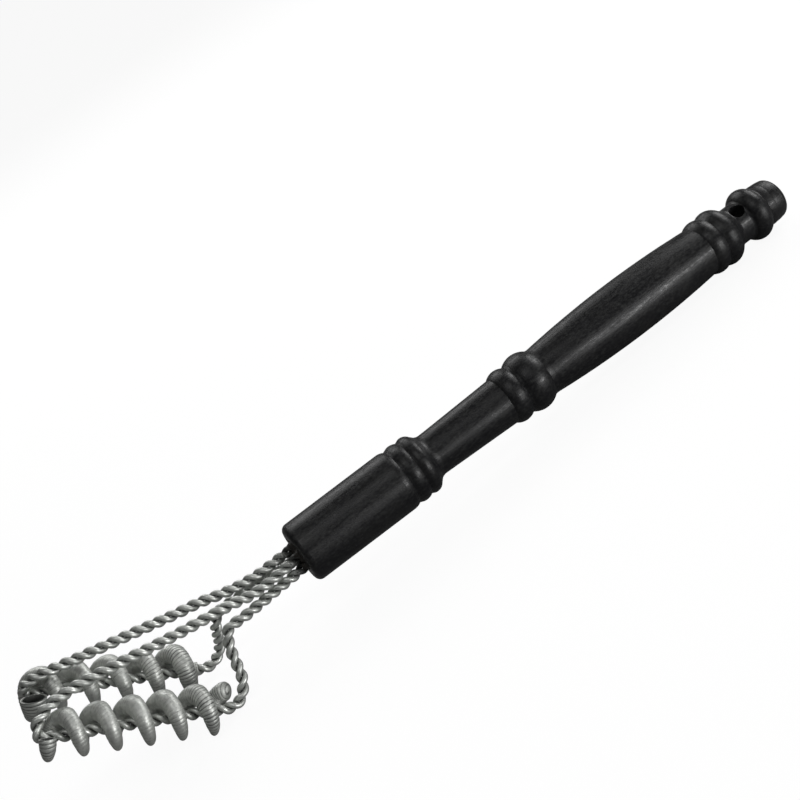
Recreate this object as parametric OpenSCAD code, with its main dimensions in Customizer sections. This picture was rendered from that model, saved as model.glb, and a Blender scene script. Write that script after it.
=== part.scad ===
// Grill brush without bristles: two helical scrub coils on twisted wire loops, in a turned wooden handle.
//
// The brush is laid down at rest. It stands on the back ends of its two coils and on the
// end of its handle, with the coil rows tipped up at the front.
// +X runs from the coils to the hanging hole, +Y across the two rows, +Z up.
// The origin is the middle of the bounding box, at the surface the brush lies on.

/* [Handle] */

// Length of the turned handle, from the socket mouth to the rounded end
handle_length = 311.5; // [308:0.1:330]

// Outer radius of the plain cylinder at the front of the handle
front_radius = 16; // [15.5:0.1:18]

// Largest radius of the barrel-shaped grip
grip_radius = 15.8; // [15:0.1:18]

// Radius of the socket that the wires are glued into
socket_radius = 8.6; // [8.4:0.1:10]

// Depth of the socket
socket_depth = 44; // [30:1:52]

// Radius of the hanging hole through the neck
hang_hole_radius = 4; // [2.5:0.1:4]

// Turn of the hanging hole about the handle, up from level
hang_hole_turn = 60; // [0:5:90]

/* [Head] */

// Angle between the handle and the two coil rows
handle_rise = 33.95; // [30:0.05:38]

// Distance between the two rows, centre to centre
row_spacing = 41.4; // [36:0.2:48]

// Diameter of one galvanised wire
wire_diameter = 2.8; // [2.4:0.02:2.84]

// Length along a twisted pair for one full turn
twist_pitch = 11.3; // [11:0.1:20]

/* [Scrub coils] */

// Thickness of the close-wound spring of a scrub coil, measured out from the core
spring_height = 8.2; // [7.6:0.1:8.4]

// Width of the spring along the row, at the sides of a turn
spring_width = 6.8; // [6:0.1:7.2]

// How much narrower the spring is at the bottom of a turn, where it is pulled tight
bottom_squeeze = 1.2; // [0:0.1:1.6]

// Thickness of the wire that the spring is wound from
spring_wall = 1.3; // [0.9:0.1:1.6]

// Radius of the round core that the spring is wound against
core_radius = 3.05; // [3:0.05:3.4]

// Extra width of the spring on the +Y side of a turn, where it is crushed against the core
side_spread = 3.4; // [0:0.1:3.6]

// How far the +Y side of each turn leans toward the front
turn_lean = 2.4; // [0:0.1:2.8]

// Advance of the near coil for each turn
near_pitch = 14.5; // [13:0.1:15.5]

// Advance of the far coil for each turn
far_pitch = 15.7; // [14:0.1:16.5]

/* [Hidden] */

black = [0.06, 0.06, 0.06];
steel = [0.55, 0.56, 0.55];
dull_steel = [0.42, 0.43, 0.42];
glue = [0.08, 0.07, 0.06];

half_row = row_spacing / 2;
pair_offset = wire_diameter / 2 + 0.05;  // from the middle of a twisted pair to one wire's middle
mouth = [125.9, 0, 62.6];                // middle of the socket mouth, before the brush is laid down
ring_step = 1.6;                         // spacing of the cross-sections along a wire
wire_sides = 7;
coil_sides = 10;
coil_rings = 18;                         // cross-sections in each turn of a coil

// First and last angle of each coil, and the middle line of its spring.
far_turns = [-195, 1701];
near_turns = [-205, 1868];
far_ends = [5.5, 2.2, 2];                // extra width at the first and last winding, extra height at the first
near_ends = [0.8, 0, 0];
far_curve = coil_curve(1, far_turns, far_ends, far_pitch, 6.5, 3, [3.8, 0, 0], 0.5, 3.2);
near_curve = coil_curve(-1, near_turns, near_ends, near_pitch, 11.3, 0.4, [1.9, 2, 1.8], 0, 0);

// Where each twisted pair sits in the socket, sideways from the handle axis and above it.
far_top = [2.3, 3.7];
far_bottom = [2.8, -2.2];
near_top = [-3.2, 1.4];
near_bottom = [-2.7, -4.5];

// ---- How the brush lies ----

// The last turn of the coils and the bead at the end of the handle touch the surface.
heel = [80.68, -10.38];                  // where the near coil touches, along and above its row
tail_at = 292.7;
tail_radius = 14.64;
along = [cos(handle_rise), 0, sin(handle_rise)];
above = [-sin(handle_rise), 0, cos(handle_rise)];
tail = [mouth.x + tail_at * along.x, mouth.z + tail_at * along.z];
span = tail - heel;
rest_tilt = atan2(span.y, span.x) - asin(tail_radius / norm(span));
rest_lift = heel.x * sin(rest_tilt) - heel.y * cos(rest_tilt);

function laid(p) = [p.x * cos(rest_tilt) + p.z * sin(rest_tilt), p.y,
                    p.z * cos(rest_tilt) - p.x * sin(rest_tilt)];

// The furthest points of the brush along X, which set the origin.
front_x = min([for (p = far_curve) laid(p).x]) - 0.426 * spring_height;
back_x = laid(in_handle(handle_length, 0, 0)).x;
middle_x = (front_x + back_x) / 2;

module laid_down() {
    translate([-middle_x, 0, rest_lift])
        rotate([0, rest_tilt, 0])
            children();
}

module on_handle_axis() {
    translate(mouth)
        rotate([0, 90 - handle_rise, 0])
            children();
}

// A point given by its distance along the handle from the socket mouth, then sideways and above its axis.
function in_handle(s, side, up) = mouth + s * along + [0, side, 0] + up * above;

// ---- Curves ----

function unit(v) = v / norm(v);

// An arc from p to q that bulges to the right of the way it runs by sag, without its first point.
function arc(p, q, sag, n = 10) =
    let (c = norm(q - p), u = (q - p) / c, v = [u.y, -u.x])
    let (h = 2 * atan(2 * sag / c), r = c / (2 * sin(h)))
    [for (i = [1:n]) let (a = h * (2 * i / n - 1)) p + u * (c / 2 + r * sin(a)) + v * r * (cos(a) - cos(h))];

// The direction of a smooth curve at control point i.
function heading(p, i) =
    let (n = len(p) - 1)
    i == 0 ? unit(p[1] - p[0]) :
    i == n ? unit(p[n] - p[n - 1]) :
    let (a = norm(p[i] - p[i - 1]), b = norm(p[i + 1] - p[i]))
    ((p[i] - p[i - 1]) * b / a + (p[i + 1] - p[i]) * a / b) / (a + b);

function hermite(p, q, hp, hq, t) =
    let (d = norm(q - p), t2 = t * t, t3 = t2 * t)
    (2 * t3 - 3 * t2 + 1) * p + (t3 - 2 * t2 + t) * d * hp + (3 * t2 - 2 * t3) * q + (t3 - t2) * d * hq;

// A smooth curve through the control points, cut into steps of about the given length.
function smooth(p, step) = [
    for (i = [0:len(p) - 2])
        let (n = max(1, round(norm(p[i + 1] - p[i]) / step)))
        for (k = [0:(i == len(p) - 2 ? n : n - 1)])
            hermite(p[i], p[i + 1], heading(p, i), heading(p, i + 1), k / n)
];

function tangents(c) = [
    for (i = [0:len(c) - 1])
        unit(c[min(i + 1, len(c) - 1)] - c[max(i - 1, 0)])
];

// A direction square to the curve at each point that turns no more than it must.
function carried(t) = [
    for (i = 0, r = unit(cross(t[0], [0, 1, 0])); i < len(t);
         i = i + 1, r = i < len(t) ? unit(r - (r * t[i]) * t[i]) : r)
        r
];

function lengths(c) = [
    for (i = 0, s = 0; i < len(c); i = i + 1, s = i < len(c) ? s + norm(c[i] - c[i - 1]) : s)
        s
];

// ---- Sweeps ----

// The two triangles between corners k and k + 1 of ring i and the ring after it.
function side_faces(i, k, sides, first, stride, inward) =
    let (a = first + i * stride + k, b = first + i * stride + (k + 1) % sides)
    inward ? [[a, b, a + stride], [b, b + stride, a + stride]]
           : [[a, a + stride, b], [b, a + stride, b + stride]];

// A solid round rod along a curve. across holds a direction square to the curve at each point.
module rod(curve, across, radius, sides) {
    t = tangents(curve);
    n = len(curve);
    points = [
        for (i = [0:n - 1])
            let (u = unit(across[i] - (across[i] * t[i]) * t[i]), v = cross(t[i], u))
            for (k = [0:sides - 1])
                curve[i] + radius * (cos(360 * k / sides) * u + sin(360 * k / sides) * v)
    ];
    walls = [for (i = [0:n - 2]) for (k = [0:sides - 1]) each side_faces(i, k, sides, 0, sides, false)];
    start = [for (k = [0:sides - 1]) k];
    end = [for (k = [0:sides - 1]) n * sides - 1 - k];
    polyhedron(points = points, faces = concat(walls, [start], [end]), convexity = 10);
}

// A hollow oval tube along a curve, open at both ends. heights are measured in the direction across.
module tube(curve, across, heights, widths, wall, sides) {
    t = tangents(curve);
    n = len(curve);
    points = [
        for (i = [0:n - 1])
            let (u = unit(across[i] - (across[i] * t[i]) * t[i]), v = cross(t[i], u))
            for (inset = [0, wall])
                for (k = [0:sides - 1])
                    curve[i] + (heights[i] / 2 - inset) * cos(360 * k / sides) * u
                        + (widths[i] / 2 - inset) * sin(360 * k / sides) * v
    ];
    w = 2 * sides;
    outside = [for (i = [0:n - 2]) for (k = [0:sides - 1]) each side_faces(i, k, sides, 0, w, false)];
    inside = [for (i = [0:n - 2]) for (k = [0:sides - 1]) each side_faces(i, k, sides, sides, w, true)];
    last = (n - 1) * w;
    ends = [
        for (k = [0:sides - 1])
            let (j = (k + 1) % sides)
            each [[k, j, sides + k], [j, sides + j, sides + k],
                  [last + k, last + sides + k, last + j], [last + j, last + sides + k, last + sides + j]]
    ];
    polyhedron(points = points, faces = concat(outside, inside, ends), convexity = 10);
}

// ---- Handle ----

// Half of the turned outline, as [radius, distance from the socket mouth].
outline = concat(
    [[0, 0], [13, 0]],
    arc([13, 0], [front_radius - 0.25, 3.2], 0.75, 6),
    [[front_radius, 57.4]],
    arc([front_radius, 57.4], [front_radius - 1.1, 61.6], 0.35, 5),
    arc([front_radius - 1.1, 62], [front_radius - 1.1, 69], 1.08, 10),
    arc([front_radius - 1.1, 69.3], [14.1, 75.8], 1.42, 12),
    [[12.4, 77.5]],
    arc([12.4, 77.5], [11.35, 81], -0.3, 6),
    [[12.8, 124.8]],
    arc([12.8, 124.8], [13.3, 134.6], 1.72, 12),
    arc([13.3, 135], [13.35, 149], 2.55, 16),
    arc([13.35, 149], [13.25, 152.4], -0.14, 5),
    arc([13.25, 152.4], [13.7, 257.6], grip_radius - 13.48, 40),
    arc([13.7, 257.6], [14.3, 266.2], 1.42, 10),
    arc([14.3, 266.5], [13.3, 276.2], 2.02, 14),
    [[11.6, 278.4]],
    arc([11.6, 278.4], [10.85, 280.2], -0.15, 4),
    [[10.85, 286.4]],
    arc([10.85, 286.4], [11.6, 287.7], -0.12, 4),
    arc([11.6, 287.7], [11.9, 298.2], 2.9, 16),
    arc([11.9, 298.2], [11.75, 299.2], -0.12, 4),
    arc([11.75, 299.2], [11.7, 303], 0.14, 5),
    arc([11.7, 303.3], [11.3, 307.2], 0.1, 5),
    arc([11.3, 307.2], [7.2, handle_length - 0.6], 1.15, 8),
    arc([7.2, handle_length - 0.6], [0, handle_length], 0.2, 6)
);

// Turned and lacquered wooden handle, bored at the front and cross-drilled through its neck.
module handle() {
    color(black)
        laid_down()
            on_handle_axis()
                difference() {
                    rotate_extrude($fn = 96)
                        polygon(outline);
                    translate([0, 0, -1])
                        cylinder(r = socket_radius, h = socket_depth + 1, $fn = 64);
                    translate([0, 0, 283.4])
                        rotate([0, 0, -hang_hole_turn])
                            rotate([90, 0, 0])
                                cylinder(r = hang_hole_radius, h = 40, center = true, $fn = 64);
                }
}

// Cured glue that fills the socket round the wires, a little back from the mouth.
module socket_glue() {
    color(glue)
        laid_down()
            on_handle_axis()
                translate([0, 0, 5])
                    difference() {
                        cylinder(r = socket_radius, h = socket_depth - 5, $fn = 64);
                        for (seat = [far_top, far_bottom, near_top, near_bottom])
                            translate([-seat.y, seat.x, -1])
                                cylinder(r = 2.93, h = socket_depth, $fn = 48);
                    }
}

// ---- Wire loops ----

// Middle line of the twisted pair of one loop. It leaves the socket, runs over its row to the front,
// turns back through the coil, hooks up at the back and returns to the socket below where it left.
// side is 1 for the far row and -1 for the near row.
function loop(side) =
    side > 0
    ? concat(seated(far_top, 1), beside_handle(far_leaving), head(1),
             beside_handle(far_returning), seated(far_bottom, -1))
    : concat(seated(near_top, 1), beside_handle(near_leaving), head(-1),
             beside_handle(near_returning), seated(near_bottom, -1));

// Points of the pairs just outside the socket: distance along the handle axis, sideways, above it.
far_leaving = [[-10, 2.9, 3.35], [-20, 3.9, 2.8], [-29, 5.1, 3.2], [-38, 6.6, 4.4]];
near_leaving = [[-10, -3.9, 0.95], [-20, -5, 0.7], [-29, -5.8, 1.7], [-38, -6.5, 4.3]];
far_returning = [[-38, 8, -2.4], [-26, 5.6, -2.6], [-13, 3.6, -2.6]];
near_returning = [[-38, -7.8, -4.1], [-26, -5.4, -4.95], [-16, -4, -5.15], [-6, -3.2, -5.2]];

function beside_handle(rows) = [for (r = rows) in_handle(r[0], r[1], r[2])];

// The straight part of a pair inside the socket, leaving it or going in.
function seated(seat, way) =
    [for (s = way > 0 ? [socket_depth - 1, 24, 4] : [4, 24, socket_depth - 1]) in_handle(s, seat.x, seat.y)];

// The part of a loop that is alike for both rows, from the upper arm round the head to the hook.
function head(side) = [
    for (p = concat(
        [[81, 8.1, 41.1], [69, 8.8, 36.1], [55, 9.6, 30.8]],
        [[41, 10.2, 25.6], [28, 11, 20.6], [16, 12.4, 15.6], [8.6, 14.3, 12], [3.7, 16.9, 7.8]],
        [[1.7, 19.2, 3.6], [2.9, half_row - 0.2, 0.5], [6.6, half_row, 0], [25, half_row, 0]],
        [[44, half_row, 0], [63, half_row, 0], [80, half_row, 0], [86.5, half_row, 0]],
        [[90.8, half_row - 0.1, 1.6], [93.3, half_row - 0.9, 6], [93.7, 17.9, 12.4], [91.5, 14, 19.6]],
        [[89.3, 10.6, 26.6], [89.4, 9, 33.8]]
    )) [p.x, side * p.y, p.z]
];

// One wire of a twisted pair. half_turn puts it on one side of the pair or the other.
module twisted_wire(side, half_turn) {
    middle = smooth(loop(side), ring_step);
    t = tangents(middle);
    r = carried(t);
    s = lengths(middle);
    away = [
        for (i = [0:len(middle) - 1])
            let (turn = 360 * s[i] / twist_pitch + half_turn)
            cos(turn) * r[i] + sin(turn) * cross(t[i], r[i])
    ];
    wire = [for (i = [0:len(middle) - 1]) middle[i] + pair_offset * away[i]];
    color(steel)
        laid_down()
            rod(wire, away, wire_diameter / 2, wire_sides);
}

module far_wire_a() {
    twisted_wire(1, 0);
}

module far_wire_b() {
    twisted_wire(1, 180);
}

module near_wire_a() {
    twisted_wire(-1, 0);
}

module near_wire_b() {
    twisted_wire(-1, 180);
}

// ---- Scrub coils ----

// How far along a coil angle a lies, from 0 to 1.
function progress(turns, a) = (a - turns[0]) / (turns[1] - turns[0]);

// The spring is fuller over the top of a turn, after the first one, and pulled thin at the bottom.
function fullness(turns, a) =
    sin(a) > 0 ? sin(a) * (0.3 + min(1, 2 * progress(turns, a))) : sin(a) * bottom_squeeze;

function crushed(turns, a) =
    side_spread * pow(max(0, cos(a - 30)), 2) * (1 - pow(max(0, 1 - (turns[1] - a) / 80), 2));

function thickness(turns, ends, a) =
    spring_height + fullness(turns, a) + ends[2] * pow(max(0, 1 - (a - turns[0]) / 300), 2);

function spring_heights(turns, ends) = [for (a = coil_angles(turns)) thickness(turns, ends, a)];

// The spring is also wider at its first turn and over its last turn and a half.
function spring_widths(turns, ends) = [
    for (a = coil_angles(turns))
        spring_width + fullness(turns, a) * (sin(a) > 0 ? 1 : 1.9) + crushed(turns, a)
            + ends[0] * pow(max(0, 1 - (a - turns[0]) / 300), 2)
            + ends[1] * max(0, 1 - (turns[1] - a) / 500)
];

// Middle line of a close-wound spring bent into a right-handed helix round one row of the wire loop.
// Turns run between two angles measured from +Y up towards +Z. at_zero is the distance along the row
// at angle 0, before the lean. flare opens the first turn out. shift moves the first winding back, the
// last winding back and the rest of the first turn forward. swell is how far the top of the last turn
// stands off the core, and slump is how far the first turns have slid back on their -Y side.
function coil_curve(side, turns, ends, pitch, at_zero, flare, shift, swell, slump) = [
    for (a = coil_angles(turns))
        let (near_start = max(0, 1 - (a - turns[0]) / 250), start = pow(near_start, 2))
        let (finish = pow(max(0, 1 - (turns[1] - a) / 80), 2))
        let (slack = progress(turns, a) * (0.9 + swell * pow(max(0, sin(a)), 2)) * (1 - finish))
        let (r = core_radius + thickness(turns, ends, a) / 2 + flare * start + slack)
        let (lean = turn_lean * pow((1 + cos(a)) / 2, 2))
        let (dip = shift[2] * 4 * near_start * (1 - near_start))
        let (slid = slump * (1 - progress(turns, a)) * (1 - cos(a)) / 2)
        let (wide = crushed(turns, a) / 2)
        [at_zero + pitch * a / 360 + shift[0] * start + shift[1] * finish - dip - lean + slid + wide,
         side * half_row + r * cos(a), r * sin(a)]
];

function coil_angles(turns) =
    let (n = round((turns[1] - turns[0]) * coil_rings / 360))
    [for (i = [0:n]) turns[0] + (turns[1] - turns[0]) * i / n];

module scrub_coil(curve, turns, ends) {
    out = [for (a = coil_angles(turns)) [0, cos(a), sin(a)]];
    color(dull_steel)
        laid_down()
            tube(curve, out, spring_heights(turns, ends), spring_widths(turns, ends), spring_wall, coil_sides);
}

module far_coil() {
    scrub_coil(far_curve, far_turns, far_ends);
}

module near_coil() {
    scrub_coil(near_curve, near_turns, near_ends);
}

handle();
socket_glue();
far_wire_a();
far_wire_b();
near_wire_a();
near_wire_b();
far_coil();
near_coil();
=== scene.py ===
"""Grill cleaning brush: two wound scrub coils on twisted wire loops, glued into a turned black handle.

The wires, coils and glue are built in the working frame of part.scad, in mm, with the coil rows along X.
placed() takes them to the shared frame, in metres. The turned handle is the CAD mesh with a new material.
"""
import math

import bmesh
import bpy
import numpy as np
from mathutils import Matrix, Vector


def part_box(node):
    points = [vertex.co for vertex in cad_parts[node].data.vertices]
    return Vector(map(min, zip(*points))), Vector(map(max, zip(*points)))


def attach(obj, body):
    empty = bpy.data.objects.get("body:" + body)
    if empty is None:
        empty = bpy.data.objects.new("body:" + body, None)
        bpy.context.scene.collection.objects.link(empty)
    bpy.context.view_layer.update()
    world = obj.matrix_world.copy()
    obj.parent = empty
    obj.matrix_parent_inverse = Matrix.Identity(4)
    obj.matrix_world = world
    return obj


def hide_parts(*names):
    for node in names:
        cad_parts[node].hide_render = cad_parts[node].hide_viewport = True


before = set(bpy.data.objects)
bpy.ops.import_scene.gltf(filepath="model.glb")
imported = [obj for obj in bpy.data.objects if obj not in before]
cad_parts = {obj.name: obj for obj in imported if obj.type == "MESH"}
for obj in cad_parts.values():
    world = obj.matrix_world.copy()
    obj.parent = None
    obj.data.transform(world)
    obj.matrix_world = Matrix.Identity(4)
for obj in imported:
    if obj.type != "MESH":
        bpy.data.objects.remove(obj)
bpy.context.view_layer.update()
MM = 0.001
ROOT = "root"

# ---------------------------------------------------------------- sizes, as in part.scad

TWIST_PITCH = 11.3  # length of one full turn of a twisted pair
WIRE_RADIUS = 1.4
PAIR_OFFSET = 1.45  # from the middle of a pair to the middle of either wire
HALF_ROW = 20.7  # from the mid-plane of the brush to either row
CORE_RADIUS = 3.05  # of the round core that the springs are wound against
SPRING_HEIGHT = 8.2  # of a spring's oval tube, measured out from the core
SPRING_WIDTH = 6.8  # of the same tube, along the row
SPRING_WALL = 1.3
BOTTOM_SQUEEZE = 1.2  # how much thinner the tube is at the bottom of a turn
BOTTOM_NARROWING = 1.9  # its width shrinks there by this many times as much
TOP_FULLNESS = 0.3  # how much thicker it is over the top of the first turn
LATER_FULLNESS = 1.0  # what the first half of the coil adds to that
SIDE_SPREAD = 3.4  # how much wider the tube is on the +Y side of a turn
SPREAD_TURN = np.pi / 6  # where on the turn that is, up from +Y
TURN_LEAN = 2.4  # how far the +Y side of each turn leans toward the front
END_SLACK = 0.9  # how far the last turns stand off the core
START_DEGREES = 250  # the first part of a coil, which is pushed along and flared
OPENING_DEGREES = 300  # the first part that is also larger
FINISH_DEGREES = 80  # the last part, drawn in to the core
WIDENING_DEGREES = 500  # the last part that is also wider

HANDLE_LENGTH = 311.5
HANDLE_RISE = math.radians(33.95)  # angle between the rows and the handle's axis
MOUTH = np.array([125.9, 0.0, 62.6])  # middle of the socket's mouth
ALONG = np.array([math.cos(HANDLE_RISE), 0.0, math.sin(HANDLE_RISE)])
ABOVE = np.array([-math.sin(HANDLE_RISE), 0.0, math.cos(HANDLE_RISE)])

# The brush rests on HEEL, the X and Z of a line under the coils' back ends, and on a bead of the handle.
HEEL = np.array([80.68, -10.38])
TAIL_AT = 292.7
TAIL_RADIUS = 14.64

tail = np.array([MOUTH[0] + TAIL_AT * ALONG[0], MOUTH[2] + TAIL_AT * ALONG[2]])
span = tail - HEEL
TILT = math.atan2(span[1], span[0]) - math.asin(TAIL_RADIUS / np.linalg.norm(span))
LIFT = HEEL[0] * math.sin(TILT) - HEEL[1] * math.cos(TILT)
TURN = np.array([[math.cos(TILT), 0, math.sin(TILT)], [0, 1, 0], [-math.sin(TILT), 0, math.cos(TILT)]])
back_x = (TURN @ (MOUTH + HANDLE_LENGTH * ALONG))[0]
SHIFT = np.array([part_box("handle")[1][0] / MM - back_x, 0.0, LIFT])


def placed(points):
    """Points of the working frame in mm, as points of the shared frame in metres."""
    return (np.asarray(points) @ TURN.T + SHIFT) * MM


def in_handle(s, side, up):
    """The point that far along the handle from its mouth, sideways toward +Y and above the axis."""
    return MOUTH + s * ALONG + np.array([0, side, 0]) + up * ABOVE


# ---------------------------------------------------------------- curves


def unit(v):
    return v / np.linalg.norm(v, axis=-1, keepdims=True)


def smooth_curve(p, step):
    """A smooth curve through the control points, in steps of about the given length."""
    p = np.asarray(p, float)
    last = len(p) - 1
    gap = np.linalg.norm(np.diff(p, axis=0), axis=1)
    heading = np.zeros_like(p)
    heading[0] = (p[1] - p[0]) / gap[0]
    heading[last] = (p[last] - p[last - 1]) / gap[-1]
    for i in range(1, last):
        a, b = gap[i - 1], gap[i]
        heading[i] = ((p[i] - p[i - 1]) * b / a + (p[i + 1] - p[i]) * a / b) / (a + b)
    out = []
    for i in range(last):
        n = max(1, round(gap[i] / step))
        for k in range(n + (i == last - 1)):
            t = k / n
            t2, t3 = t * t, t * t * t
            out.append(
                (2 * t3 - 3 * t2 + 1) * p[i]
                + (t3 - 2 * t2 + t) * gap[i] * heading[i]
                + (3 * t2 - 2 * t3) * p[i + 1]
                + (t3 - t2) * gap[i] * heading[i + 1]
            )
    return np.array(out)


def tangents(c):
    return unit(np.vstack([c[1] - c[0], c[2:] - c[:-2], c[-1] - c[-2]]))


def lengths(c):
    """Length along the curve up to each point."""
    return np.concatenate([[0.0], np.cumsum(np.linalg.norm(np.diff(c, axis=0), axis=1))])


def carried(t):
    """A direction square to the curve at each point. It turns no more than it must."""
    r = np.zeros_like(t)
    r[0] = unit(np.cross(t[0], [0, 1, 0]))
    for i in range(1, len(t)):
        r[i] = unit(r[i - 1] - (r[i - 1] @ t[i]) * t[i])
    return r


# ---------------------------------------------------------------- meshes


def new_piece(name, verts, faces, replaced=(), smooth_angle=50, sweep=None, tone=None):
    """A visible piece on the root body.

    sweep is a place along and across the wire for each vertex, in mm. tone is how open to the light it is.
    """
    mesh = bpy.data.meshes.new(name)
    mesh.from_pydata([tuple(v) for v in verts], [], faces)
    solid = bmesh.new()
    solid.from_mesh(mesh)
    bmesh.ops.recalc_face_normals(solid, faces=solid.faces)
    solid.to_mesh(mesh)
    solid.free()
    mesh.update()
    mesh.shade_smooth()
    mesh.set_sharp_from_angle(angle=math.radians(smooth_angle))
    if sweep is not None:
        layer = mesh.attributes.new("sweep", "FLOAT_VECTOR", "POINT")
        layer.data.foreach_set("vector", np.asarray(sweep, np.float32).ravel())
    if tone is not None:
        layer = mesh.attributes.new("tone", "FLOAT", "POINT")
        layer.data.foreach_set("value", np.asarray(tone, np.float32).ravel())
    piece = bpy.data.objects.new(name, mesh)
    bpy.context.scene.collection.objects.link(piece)
    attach(piece, ROOT)
    if replaced:
        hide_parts(*replaced)
    return piece


def ring_faces(rings, sides, first=0, flip=False):
    """Four-sided faces between each ring of points and the next."""
    faces = []
    for i in range(rings - 1):
        a = first + i * sides
        for k in range(sides):
            j = (k + 1) % sides
            quad = (a + k, a + sides + k, a + sides + j, a + j)
            faces.append(quad[::-1] if flip else quad)
    return faces


def round_angles(sides):
    return 2 * np.pi * np.arange(sides) / sides


def oval_rings(curve, across, half_height, half_width, sides):
    """Rings of points round a curve, each an oval with its height toward across.

    The half sizes are single numbers, or one for each ring, or one for each ring and side.
    """
    t = tangents(curve)
    u = unit(across - np.sum(across * t, axis=1, keepdims=True) * t)
    v = np.cross(t, u)
    angle = round_angles(sides)[None, :]
    return (
        curve[:, None, :]
        + (half_height * np.cos(angle))[:, :, None] * u[:, None, :]
        + (half_width * np.sin(angle))[:, :, None] * v[:, None, :]
    )


def end_caps(rings, sides, first=0):
    """One flat face over each end of a tube of rings."""
    last = first + rings * sides - 1
    return [tuple(first + k for k in range(sides)), tuple(last - k for k in range(sides))]


# ---------------------------------------------------------------- wires

# The far side is 1 and the near side is -1. A seat is where a pair sits in the socket, sideways and above
# the handle's axis. LEAVING and RETURNING are its points outside the mouth: along, sideways and above.
# HEAD is the rest of the far loop, and the near one is its mirror image.
SEAT_DEPTHS = (43, 24, 4)
TOP_SEAT = {1: (2.3, 3.7), -1: (-3.2, 1.4)}
BOTTOM_SEAT = {1: (2.8, -2.2), -1: (-2.7, -4.5)}
LEAVING = {
    1: [(-10, 2.9, 3.35), (-20, 3.9, 2.8), (-29, 5.1, 3.2), (-38, 6.6, 4.4)],
    -1: [(-10, -3.9, 0.95), (-20, -5, 0.7), (-29, -5.8, 1.7), (-38, -6.5, 4.3)],
}
RETURNING = {
    1: [(-38, 8, -2.4), (-26, 5.6, -2.6), (-13, 3.6, -2.6)],
    -1: [(-38, -7.8, -4.1), (-26, -5.4, -4.95), (-16, -4, -5.15), (-6, -3.2, -5.2)],
}
HEAD = [[81, 8.1, 41.1], [69, 8.8, 36.1], [55, 9.6, 30.8]]
HEAD += [[41, 10.2, 25.6], [28, 11, 20.6], [16, 12.4, 15.6], [8.6, 14.3, 12], [3.7, 16.9, 7.8]]
HEAD += [[1.7, 19.2, 3.6], [2.9, 20.5, 0.5], [6.6, 20.7, 0], [25, 20.7, 0], [44, 20.7, 0], [63, 20.7, 0]]
HEAD += [[80, 20.7, 0], [86.5, 20.7, 0], [90.8, 20.6, 1.6], [93.3, 19.8, 6], [93.7, 17.9, 12.4]]
HEAD += [[91.5, 14, 19.6], [89.3, 10.6, 26.6], [89.4, 9, 33.8]]


def loop(side):
    """Points along the middle of one pair, from the socket, round the head and back."""
    p = [in_handle(s, *TOP_SEAT[side]) for s in SEAT_DEPTHS]
    p += [in_handle(*row) for row in LEAVING[side]]
    p += [np.array([x, side * y, z]) for x, y, z in HEAD]
    p += [in_handle(*row) for row in RETURNING[side]]
    p += [in_handle(s, *BOTTOM_SEAT[side]) for s in SEAT_DEPTHS[::-1]]
    return np.array(p)


WIRE_SIDES = 16
WIRE_STEP = 0.55
OWN_PLACE = (40, 90)  # keeps the wires' dirt and drawing marks apart


def strand(name, side, half_turn, node):
    """One of the two wires of a pair, twisted round the pair's middle."""
    middle = smooth_curve(loop(side), WIRE_STEP)
    t = tangents(middle)
    r = carried(t)
    s = lengths(middle)
    turn = 2 * np.pi * s / TWIST_PITCH + half_turn
    away = np.cos(turn)[:, None] * r + np.sin(turn)[:, None] * np.cross(t, r)
    wire = middle + PAIR_OFFSET * away
    verts = oval_rings(wire, away, WIRE_RADIUS, WIRE_RADIUS, WIRE_SIDES).reshape(-1, 3)
    n = len(wire)
    faces = ring_faces(n, WIRE_SIDES) + end_caps(n, WIRE_SIDES)
    angle = round_angles(WIRE_SIDES)
    sweep = np.stack(
        [
            np.repeat(lengths(wire), WIRE_SIDES),
            np.tile(WIRE_RADIUS * np.cos(angle), n) + OWN_PLACE[0] * half_turn,
            np.tile(WIRE_RADIUS * np.sin(angle), n) + OWN_PLACE[1] * side,
        ],
        axis=1,
    )
    # Painted shade: each wire is lighter on its outside and darker on the side that faces its partner.
    tone = np.tile(0.5 + 0.5 * np.cos(angle), n)
    return new_piece(name, placed(verts), faces, [node], sweep=sweep, tone=tone)


strands = [
    strand("far_strand_a", 1, 0.0, "far_wire_a"),
    strand("far_strand_b", 1, math.pi, "far_wire_b"),
    strand("near_strand_a", -1, 0.0, "near_wire_a"),
    strand("near_strand_b", -1, math.pi, "near_wire_b"),
]

# ---------------------------------------------------------------- scrub coils

COIL_SIDES = 28
WINDING = 1.25  # width of one winding of the spring
RINGS_PER_WINDING = 7
PROUD, SLIP = 0.03, 0.018  # how far one winding stands out or sits along, as a spread
GAPE, GAPE_LIMITS = (1.0, 0.25), (0.5, 1.6)  # how deep one groove is beside the others
TIGHT_GROOVE = 0.17  # depth of a groove where the spring is drawn tight
RELAXED_GROOVE = 0.23  # what it gains at the two ends of the coil
FRONT_RELAXED, FRONT_FADE = 1.3, 40  # all of it while above 1, then less by 1 for each fade in mm
BACK_RELAXED, BACK_FADE = 1.7, 55
RIDGE_ROUNDNESS = 0.94
SHRINK = 0.05  # keeps the highest ridges near the CAD tube's surface
WEAR, WORN_FROM = 0.5, 0.55  # the outermost ridges are rubbed flatter
WAVES = ((0.05, 7.3, 1), (0.04, 3.1, 2))  # slow unevenness: its size, its length and its share of the seed
CLOSING, CLOSED = 3.4, 0.9996  # length over which a closed end rounds off, and how far
SHADED_GROOVE_DEPTH = 0.22  # a groove gets all of its painted shade from this deep
GIRTH = 3.7  # mean radius of the tube, for the pattern of dirt round it
COIL_PLACE, TIE_PLACE = 50, 70  # keep the patterns of the coils and the tie apart

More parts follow.
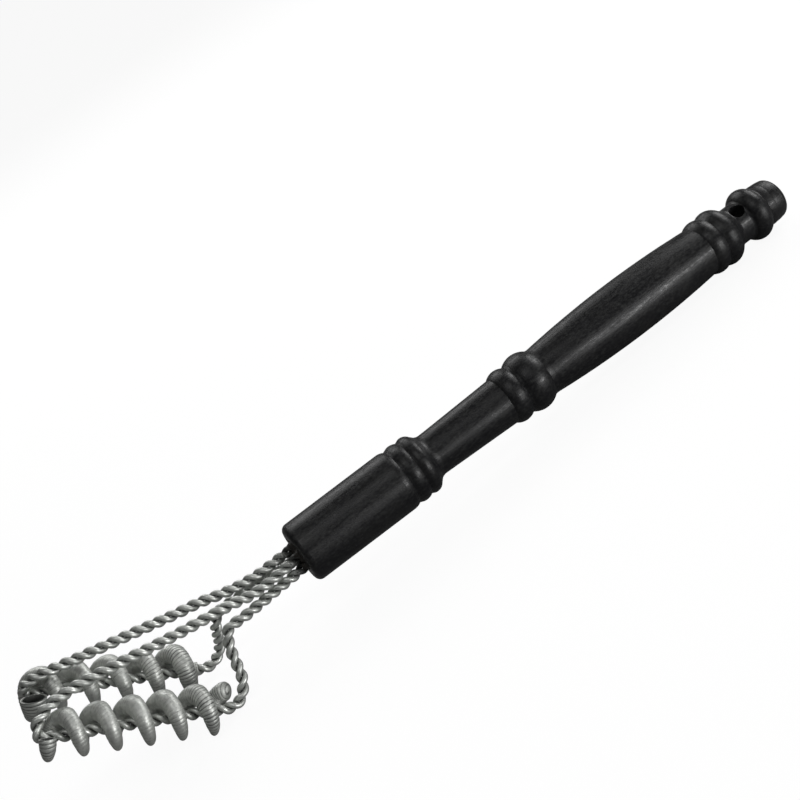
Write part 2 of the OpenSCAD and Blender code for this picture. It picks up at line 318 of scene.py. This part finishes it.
TIE_SIDES = 10
TIE_RINGS, LEAD_RINGS = 90, 12
TIE_RADIUS = 0.42  # of the spring's own wire
TIE_TURNS = 2.6
TIE_AT, TIE_PITCH = 81.2, 0.9  # where on the row the wraps begin, and how far apart they are
TIE_REACH = 3.3  # of the wraps from the middle of the pair
TIE_FROM = 3.9  # where round the pair they begin, in radians
TIE_STEP = 0.3  # from ring to ring, for the pattern of dirt


def fade(left, reach):
    """One at an end of a coil, and nothing from reach degrees away."""
    return np.maximum(0, 1 - left / reach)


def coil_path(side, first, last, pitch, at_zero, flare, shift, swell, slump, ends):
    """Middle line of a spring wound round its row, the way out from the core, its heights and its widths.

    first and last are angles in degrees, up from the +Y side, and at_zero is where angle zero is on the row.
    flare is how far the front end stands off the core. shift moves the front end and the back end along the
    row, then pulls the rest of the first turn forward. swell lifts the tops of the later turns, and slump
    slides the -Y side of the early ones back. ends is the extra width at the front and at the back, and the
    extra height at the front.
    """
    a = np.linspace(first, last, last - first + 1)
    rad = np.radians(a)
    along = (a - first) / (last - first)
    near_start = fade(a - first, START_DEGREES)
    start = near_start**2
    finish = fade(last - a, FINISH_DEGREES) ** 2
    opening = fade(a - first, OPENING_DEGREES) ** 2
    up = np.sin(rad)
    over = up > 0
    full = np.where(over, up * (TOP_FULLNESS + np.minimum(LATER_FULLNESS, 2 * along)), up * BOTTOM_SQUEEZE)
    crushed = SIDE_SPREAD * np.maximum(0, np.cos(rad - SPREAD_TURN)) ** 2 * (1 - finish)
    height = SPRING_HEIGHT + full + ends[2] * opening
    width = SPRING_WIDTH + full * np.where(over, 1, BOTTOM_NARROWING) + crushed + ends[0] * opening
    width += ends[1] * fade(last - a, WIDENING_DEGREES)
    slack = along * (END_SLACK + swell * np.maximum(0, up) ** 2) * (1 - finish)
    r = CORE_RADIUS + height / 2 + flare * start + slack
    lean = TURN_LEAN * ((1 + np.cos(rad)) / 2) ** 2
    dip = shift[2] * 4 * near_start * (1 - near_start)
    slid = slump * (1 - along) * (1 - np.cos(rad)) / 2
    moved = shift[0] * start + shift[1] * finish - dip - lean + slid + crushed / 2
    x = at_zero + pitch * a / 360 + moved
    path = np.stack([x, side * HALF_ROW + r * np.cos(rad), r * up], axis=1)
    return path, np.stack([0 * rad, np.cos(rad), up], axis=1), height, width


def wound_coil(name, node, laid_path, seed, closed_end=False, tied_end=None):
    """A hollow tube of close windings. Each winding is a rounded ridge that runs round the tube.

    closed_end rounds the back end off. tied_end is the side, and the point that the spring's wire leaves
    from to wrap round the twisted pair.
    """
    path, out, heights, widths = laid_path
    s = lengths(path)
    n = int(s[-1] / WINDING * RINGS_PER_WINDING)
    at = np.linspace(0, s[-1], n + 1)
    curve = np.stack([np.interp(at, s, path[:, k]) for k in range(3)], axis=1)
    across = np.stack([np.interp(at, s, out[:, k]) for k in range(3)], axis=1)
    height = np.interp(at, s, heights)[:, None]
    width = np.interp(at, s, widths)[:, None]
    angle = round_angles(COIL_SIDES)

    draw = np.random.default_rng(seed)
    count = int(s[-1] / WINDING) + 3
    proud = draw.normal(0, PROUD, count)
    slip = draw.normal(0, SLIP, count)
    gape = np.clip(draw.normal(*GAPE, count), *GAPE_LIMITS)
    phase = at[:, None] / WINDING - angle[None, :] / (2 * np.pi) + 1
    which = np.clip(np.floor(phase).astype(int), 0, count - 1)
    across_ridge = 2 * (phase - np.floor(phase)) - 1
    at_front, at_back = FRONT_RELAXED - at / FRONT_FADE, BACK_RELAXED - (s[-1] - at) / BACK_FADE
    relaxed = np.clip(np.maximum(at_front, at_back), 0, 1)[:, None]
    depth = gape[which] * (TIGHT_GROOVE + RELAXED_GROOVE * relaxed)
    ridge = depth * (1 - np.sqrt(1 - RIDGE_ROUNDNESS * across_ridge**2))
    worn = np.clip(np.cos(angle) - WORN_FROM, 0, 1)[None, :]
    sag = sum(size * np.sin(at / reach + share * seed)[:, None] for size, reach, share in WAVES)
    inset = SHRINK + ridge * (1 - WEAR * worn) - proud[which] + sag

    close = np.ones((n + 1, 1))
    if closed_end:
        left = np.clip((s[-1] - at) / CLOSING, 0, 1)[:, None]
        close = np.sqrt(1 - CLOSED * (1 - left) ** 2)
    curve = curve + slip[which[:, 0]][:, None] * tangents(curve)
    outer = oval_rings(curve, across, (height / 2 - inset) * close, (width / 2 - inset) * close, COIL_SIDES)
    bore = [(size / 2 - SPRING_WALL) * close for size in (height, width)]
    inner = oval_rings(curve, across, *bore, COIL_SIDES)
    verts = np.vstack([outer.reshape(-1, 3), inner.reshape(-1, 3)])
    rows = n + 1
    second = rows * COIL_SIDES
    faces = ring_faces(rows, COIL_SIDES) + ring_faces(rows, COIL_SIDES, second, flip=True)
    for row, flip in ((0, False), (n, True)):
        for k in range(COIL_SIDES):
            j = (k + 1) % COIL_SIDES
            a, b = row * COIL_SIDES + k, row * COIL_SIDES + j
            quad = (a, b, second + b, second + a)
            faces.append(quad[::-1] if flip else quad)

    around = GIRTH * np.stack([np.cos(angle), np.sin(angle)], axis=1) + np.array([COIL_PLACE * seed, 0])
    local = np.concatenate([np.repeat(at, COIL_SIDES)[:, None], np.tile(around, (rows, 1))], axis=1)
    sweep = np.vstack([local, local])
    # Painted shade: darker down in the grooves between windings, and dark all over the inside of the tube.
    tone = np.concatenate([np.clip(1 - ridge / SHADED_GROOVE_DEPTH, 0, 1).ravel(), np.zeros(second)])
    if tied_end is not None:
        tie, tie_faces = tie_wire(*tied_end, len(verts))
        verts = np.vstack([verts, tie.reshape(-1, 3)])
        faces += tie_faces
        run = np.repeat(np.arange(tie.shape[0]) * TIE_STEP, tie.shape[1])
        sweep = np.vstack([sweep, np.stack([run, 0 * run + TIE_PLACE, 0 * run], axis=1)])
        tone = np.concatenate([tone, np.full(len(run), 1.0)])
    return new_piece(name, placed(verts), faces, [node], sweep=sweep, tone=tone)


def tie_wire(side, start, first_vert):
    """The end of the spring's own wire, drawn in and wrapped a few times round the twisted pair."""
    a = np.linspace(0, 2 * np.pi * TIE_TURNS, TIE_RINGS)
    around = a + TIE_FROM
    x = TIE_AT + TIE_PITCH * a / (2 * np.pi)
    wrap = np.stack([x, side * HALF_ROW + TIE_REACH * np.cos(around), TIE_REACH * np.sin(around)], axis=1)
    lead = np.linspace(0, 1, LEAD_RINGS)[:-1, None]
    curve = np.vstack([np.asarray(start) * (1 - lead) + wrap[0] * lead, wrap])
    rings = oval_rings(curve, carried(tangents(curve)), TIE_RADIUS, TIE_RADIUS, TIE_SIDES)
    faces = ring_faces(len(curve), TIE_SIDES, first_vert) + end_caps(len(curve), TIE_SIDES, first_vert)
    return rings, faces


FAR_COIL = dict(first=-195, last=1701, pitch=15.7, at_zero=6.5, flare=3, shift=(3.8, 0, 0))
FAR_COIL.update(side=1, swell=0.5, slump=3.2, ends=(5.5, 2.2, 2))
NEAR_COIL = dict(first=-205, last=1868, pitch=14.5, at_zero=11.3, flare=0.4, shift=(1.9, 2, 1.8))
NEAR_COIL.update(side=-1, swell=0, slump=0, ends=(0.8, 0, 0))
FAR_END_DROP = 3.0  # the tie leaves the far coil from the core side of its last turn

far_path = coil_path(**FAR_COIL)
near_path = coil_path(**NEAR_COIL)
far_end = far_path[0][-1] - FAR_END_DROP * far_path[1][-1]
coils = [
    wound_coil("far_scrub_coil", "far_coil", far_path, 1, tied_end=(1, far_end)),
    wound_coil("near_scrub_coil", "near_coil", near_path, 2, closed_end=True),
]

# ---------------------------------------------------------------- materials


class Shade:
    """A principled material with short calls for its nodes."""

    def __init__(self, name, **sockets):
        self.material = bpy.data.materials.new(name)
        self.material.use_nodes = True
        self.tree = self.material.node_tree
        self.bsdf = self.tree.nodes["Principled BSDF"]
        for key, value in sockets.items():
            self.bsdf.inputs[key.replace("_", " ")].default_value = value

    def put(self, value, socket):
        """Links a socket, or sets a constant on it."""
        if isinstance(value, bpy.types.NodeSocket):
            self.tree.links.new(value, socket)
        else:
            socket.default_value = value

    def add(self, kind, inputs=None, **settings):
        n = self.tree.nodes.new(kind)
        for key, value in settings.items():
            setattr(n, key, value)
        for key, value in (inputs or {}).items():
            self.put(value, n.inputs[key])
        return n

    def noise(self, vector, scale=1.0, detail=4, roughness=0.55):
        inputs = {"Vector": vector, "Scale": scale, "Detail": detail, "Roughness": roughness}
        return self.add("ShaderNodeTexNoise", inputs).outputs["Fac"]

    def stretch(self, vector, scale, rotation=(0, 0, 0)):
        inputs = {"Vector": vector, "Scale": scale, "Rotation": rotation}
        return self.add("ShaderNodeMapping", inputs).outputs["Vector"]

    def remap(self, source, low, high, to_low=0.0, to_high=1.0):
        inputs = {"Value": source, "From Min": low, "From Max": high, "To Min": to_low, "To Max": to_high}
        return self.add("ShaderNodeMapRange", inputs).outputs["Result"]

    def mix(self, factor, a, b):
        return self.add("ShaderNodeMix", {0: factor, 6: a, 7: b}, data_type="RGBA").outputs[2]

    def math(self, operation, a, b):
        return self.add("ShaderNodeMath", {0: a, 1: b}, operation=operation).outputs[0]

    def bump(self, height, strength, distance, before=None):
        inputs = {"Height": height, "Strength": strength, "Distance": distance}
        if before is not None:
            inputs["Normal"] = before
        return self.add("ShaderNodeBump", inputs).outputs["Normal"]

    def set(self, socket, source):
        self.tree.links.new(source, self.bsdf.inputs[socket])


SHADE_AND_DIRT_DARKNESS = 0.3  # of the dull metal's colour, for painted shade and random dirt
METALLIC = 0.85
OVERSPRAY = (0.014, 0.014, 0.013, 1)
PAINTED_FROM, PAINTED_TO = -0.009, -0.0045  # metres from the socket's mouth, along the handle
RAGGED = 0.003


def steel(name, bright, dull, rough, streak, painted=False):
    """Zinc-grey wire: drawing marks along it, dull patches, random dirt, and painted shade down between the
    strands or windings.

    painted puts black overspray from the handle on the wire close to the socket's mouth.
    """
    m = Shade(name, Metallic=METALLIC)
    place = m.add("ShaderNodeAttribute", attribute_name="sweep").outputs["Vector"]
    tone = m.add("ShaderNodeAttribute", attribute_name="tone").outputs["Fac"]
    streaks = m.noise(m.stretch(place, streak), detail=3)
    patches = m.noise(place, scale=0.35, roughness=0.6)
    grime = m.noise(place, scale=1.7, detail=5, roughness=0.65)
    metal = m.mix(m.remap(patches, 0.35, 0.65), dull, bright)
    shade_and_dirt = tuple(SHADE_AND_DIRT_DARKNESS * c for c in dull[:3]) + (1,)
    # Painted shade and dirt: darker where the tone attribute says the surface is closed off from the light,
    # and in random grime.
    lit_and_clean = m.remap(m.math("ADD", tone, m.math("MULTIPLY", grime, 0.9)), 0.5, 1.15)
    colour = m.mix(lit_and_clean, shade_and_dirt, metal)
    if painted:
        here = m.add("ShaderNodeTexCoord").outputs["Object"]
        offset = m.add("ShaderNodeVectorMath", {0: here, 1: tuple(placed(MOUTH))}, operation="SUBTRACT")
        toward = {0: offset.outputs[0], 1: tuple(TURN @ ALONG)}
        into = m.add("ShaderNodeVectorMath", toward, operation="DOT_PRODUCT").outputs["Value"]
        ragged = m.math("ADD", into, m.remap(grime, 0.3, 0.7, -RAGGED, RAGGED))
        paint = m.remap(ragged, PAINTED_FROM, PAINTED_TO, 0.0, 0.95)
        colour = m.mix(paint, colour, OVERSPRAY)
        m.set("Metallic", m.remap(paint, 0.0, 0.92, METALLIC, 0.0))
    m.set("Base Color", colour)
    m.set("Roughness", m.remap(m.math("ADD", patches, grime), 0.7, 1.3, rough + 0.14, rough - 0.06))
    m.set("Normal", m.bump(streaks, 0.35, 0.00008, m.bump(grime, 0.3, 0.00012)))
    return m.material


wire_steel = steel(
    "galvanised_wire",
    bright=(0.78, 0.8, 0.765, 1),
    dull=(0.5, 0.515, 0.49, 1),
    rough=0.45,
    streak=(0.25, 5, 5),
    painted=True,
)
coil_steel = steel(
    "dull_coil_wire",
    bright=(0.75, 0.765, 0.73, 1),
    dull=(0.54, 0.555, 0.53, 1),
    rough=0.52,
    streak=(3.0, 1.2, 1.2),
)
for piece in strands:
    piece.data.materials.append(wire_steel)
for piece in coils:
    piece.data.materials.append(coil_steel)


LACQUER = (0.008, 0.008, 0.009, 1)
LACQUER_DEEP = (0.005, 0.005, 0.006, 1)
LACQUER_WORN = (0.014, 0.014, 0.014, 1)
LACQUER_SPECK = (0.022, 0.023, 0.022, 1)


def lacquer():
    """Black satin lacquer: the grain of the wood shows faintly through it, along the handle."""
    m = Shade("black_lacquer", Base_Color=LACQUER, Specular_IOR_Level=0.35)
    place = m.add("ShaderNodeTexCoord").outputs["Object"]
    lie = TURN @ ALONG
    with_grain = (0, math.atan2(lie[2], lie[0]), 0)
    grain = m.noise(m.stretch(place, (60, 900, 900), with_grain), roughness=0.6)
    pores = m.noise(m.stretch(place, (250, 2600, 2600), with_grain), detail=2, roughness=0.5)
    peel = m.noise(place, scale=1100, detail=3, roughness=0.6)
    wear = m.noise(place, scale=55, detail=5, roughness=0.7)
    speckle = m.noise(m.stretch(place, (450, 900, 900), with_grain), detail=3, roughness=0.6)
    base = m.mix(m.remap(wear, 0.45, 0.75), LACQUER_DEEP, LACQUER_WORN)
    m.set("Base Color", m.mix(m.remap(speckle, 0.48, 0.8), base, LACQUER_SPECK))
    m.set("Roughness", m.remap(m.math("ADD", speckle, grain), 0.75, 1.25, 0.28, 0.55))
    smooth = m.bump(peel, 0.3, 0.00012)
    m.set("Normal", m.bump(pores, 0.25, 0.00012, m.bump(grain, 0.3, 0.0002, smooth)))
    return m.material


GLUE_DARK = (0.012, 0.011, 0.01, 1)
GLUE_PALE = (0.04, 0.035, 0.028, 1)


def cured_glue():
    m = Shade("cured_glue", Specular_IOR_Level=0.4)
    place = m.add("ShaderNodeTexCoord").outputs["Object"]
    lumps = m.noise(place, scale=500, roughness=0.6)
    m.set("Base Color", m.mix(m.remap(lumps, 0.35, 0.7), GLUE_DARK, GLUE_PALE))
    m.set("Roughness", m.remap(lumps, 0.3, 0.7, 0.35, 0.6))
    m.set("Normal", m.bump(lumps, 0.6, 0.0004))
    return m.material


def repaint(node, material):
    """Gives a CAD node its material, in every slot it has."""
    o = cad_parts[node]
    if o.material_slots:
        for held in o.material_slots:
            held.material = material
    else:
        o.data.materials.append(material)


repaint("handle", lacquer())

# ---------------------------------------------------------------- glue

GLUE_RADIUS = 8.55
GLUE_SPOKES = 96
GLUE_CIRCLES = 26
GLUE_FACE = 1.6  # how far inside the mouth the glue's face lies
GLUE_CLIMB = 3.6  # how far it climbs toward the mouth beside a pair
PAIR_REACH, CLIMB_WIDTH = 2.5, 1.3
RIM, RIM_DEPTH = 0.9, 0.6  # the glue stays at least this deep along the socket's wall
GLUE_TIP = -1.0  # the middle of the glue, between the pairs
GLUE_SEED = 11
GLUE_LUMPS = 9  # waves across the glue's face that add up to lumps
LUMP_WAVES, LUMP_SIZES = (0.5, 1.6), (0.15, 0.4)
SIDE_DEPTHS = (12.0, 28.0, 44.0)


def glue_plug():
    """Glue that fills the socket round the wires. It climbs the strands a little where they come out."""
    seats = np.array([TOP_SEAT[1], TOP_SEAT[-1], BOTTOM_SEAT[1], BOTTOM_SEAT[-1]])
    angle = round_angles(GLUE_SPOKES)
    draw = np.random.default_rng(GLUE_SEED)
    lumps = []
    for _ in range(GLUE_LUMPS):
        lumps.append((draw.uniform(*LUMP_WAVES, 2), draw.uniform(0, 2 * np.pi), draw.uniform(*LUMP_SIZES)))
    rows = []
    for rho in np.linspace(GLUE_RADIUS / GLUE_CIRCLES, GLUE_RADIUS, GLUE_CIRCLES):
        side, up = rho * np.cos(angle), rho * np.sin(angle)
        off = np.min(np.hypot(side[:, None] - seats[:, 0], up[:, None] - seats[:, 1]), axis=1)
        front = GLUE_FACE - GLUE_CLIMB * np.exp(-((np.maximum(off - PAIR_REACH, 0) / CLIMB_WIDTH) ** 2))
        for (kx, ky), phase, size in lumps:
            front = front + size * np.sin(kx * side + ky * up + phase)
        front = np.where(rho > GLUE_RADIUS - RIM, np.maximum(front, RIM_DEPTH), front)
        rows.append(np.stack([front, side, up], axis=1))
    wall = [GLUE_RADIUS * np.cos(angle), GLUE_RADIUS * np.sin(angle)]
    rows += [np.stack([0 * angle + s, *wall], axis=1) for s in SIDE_DEPTHS]
    rings = np.array(rows)
    flat = np.vstack([rings.reshape(-1, 3), [[GLUE_TIP, 0, 0], [SIDE_DEPTHS[-1], 0, 0]]])
    verts = np.array([in_handle(*p) for p in flat])
    faces = ring_faces(len(rings), GLUE_SPOKES, flip=True)
    first, last, base = len(flat) - 2, len(flat) - 1, (len(rings) - 1) * GLUE_SPOKES
    for k in range(GLUE_SPOKES):
        j = (k + 1) % GLUE_SPOKES
        faces.append((first, j, k))
        faces.append((last, base + k, base + j))
    return new_piece("glue_plug", placed(verts), faces, ["socket_glue"], smooth_angle=60)


glue = glue_plug()
glue.data.materials.append(cured_glue())

# ---------------------------------------------------------------- floor, light and camera

WHITE = (1, 1, 1, 1)
FLOOR_REACH = 40.0
FLOOR_GAP = 0.0002  # keeps the floor clear of the brush's lowest points
FLOOR_GREY = (0.3, 0.3, 0.3, 1)  # what lights the brush from below
SHADOW_GREY = (0.12, 0.12, 0.12, 1)  # how strongly a shadow shows on the floor
FLOOR_GLOW = 0.93
WORLD_LIGHT = 0.06


def by_camera_ray(tree, otherwise, seen, output):
    """Shows one shader to the camera and lets the other light the scene."""
    path = tree.nodes.new("ShaderNodeLightPath")
    both = tree.nodes.new("ShaderNodeMixShader")
    tree.links.new(path.outputs["Is Camera Ray"], both.inputs[0])
    tree.links.new(otherwise.outputs[0], both.inputs[1])
    tree.links.new(seen.outputs[0], both.inputs[2])
    tree.links.new(both.outputs[0], tree.nodes[output].inputs["Surface"])


def studio_floor():
    reach = FLOOR_REACH
    corners = [(-reach, -reach, 0), (reach, -reach, 0), (reach, reach, 0), (-reach, reach, 0)]
    mesh = bpy.data.meshes.new("floor")
    mesh.from_pydata(corners, [], [(0, 1, 2, 3)])
    floor = bpy.data.objects.new("floor", mesh)
    bpy.context.scene.collection.objects.link(floor)
    floor.location.z = -FLOOR_GAP
    m = Shade("floor_white", Base_Color=FLOOR_GREY, Roughness=0.9, Specular_IOR_Level=0.1)
    glow = m.add("ShaderNodeEmission", {"Color": WHITE, "Strength": FLOOR_GLOW})
    dim = m.add("ShaderNodeBsdfDiffuse", {"Color": SHADOW_GREY})
    seen = m.add("ShaderNodeAddShader", {0: glow.outputs[0], 1: dim.outputs[0]})
    by_camera_ray(m.tree, m.bsdf, seen, "Material Output")
    mesh.materials.append(m.material)


def studio_world():
    world = bpy.data.worlds.new("studio")
    bpy.context.scene.world = world
    world.use_nodes = True
    tree = world.node_tree
    light, seen = tree.nodes["Background"], tree.nodes.new("ShaderNodeBackground")
    for background, strength in ((light, WORLD_LIGHT), (seen, 1.0)):
        background.inputs["Color"].default_value = WHITE
        background.inputs["Strength"].default_value = strength
    by_camera_ray(tree, light, seen, "World Output")


def softbox(name, direction, distance, size, power, target=(0, 0, 0.03)):
    """A rectangular light, size across and up, that looks at its target from that distance in metres."""
    light = bpy.data.lights.new(name, "AREA")
    light.shape = "RECTANGLE"
    light.size, light.size_y = size
    light.energy = power
    o = bpy.data.objects.new(name, light)
    o.location = Vector(target) + Vector(direction).normalized() * distance
    o.rotation_mode = "QUATERNION"
    o.rotation_quaternion = (Vector(target) - o.location).to_track_quat("-Z", "Y")
    bpy.context.scene.collection.objects.link(o)


def photo_camera():
    """The camera at the viewing angle and distance that were fitted to the brush's own proportions."""
    camera = bpy.data.cameras.new("camera")
    camera.sensor_width = 36.0
    camera.lens = 55.379
    camera.clip_start = 0.01
    camera.clip_end = 200
    o = bpy.data.objects.new("camera", camera)
    o.location = (-0.110504, -0.510081, 0.322633)
    o.rotation_euler = tuple(math.radians(a) for a in (58.8088, 29.9083, -28.8269))
    bpy.context.scene.collection.objects.link(o)
    bpy.context.scene.camera = o


studio_floor()
studio_world()
softbox("low_strip", (0.44, -0.9, 0.035), distance=1.38, size=(0.85, 0.1), power=10.5, target=(0.13, 0, 0.03))
softbox("overhead_box", (-0.12, -0.457, 0.88), distance=1.4, size=(1.0, 0.5), power=3.6)
softbox("rim_box", (0.93, 0.25, 0.5), distance=1.5, size=(0.9, 0.6), power=9)
softbox("back_fill", (0.1, 0.8, 0.6), distance=1.6, size=(1.2, 0.8), power=8)
photo_camera()
bpy.context.scene.view_settings.view_transform = "Standard"
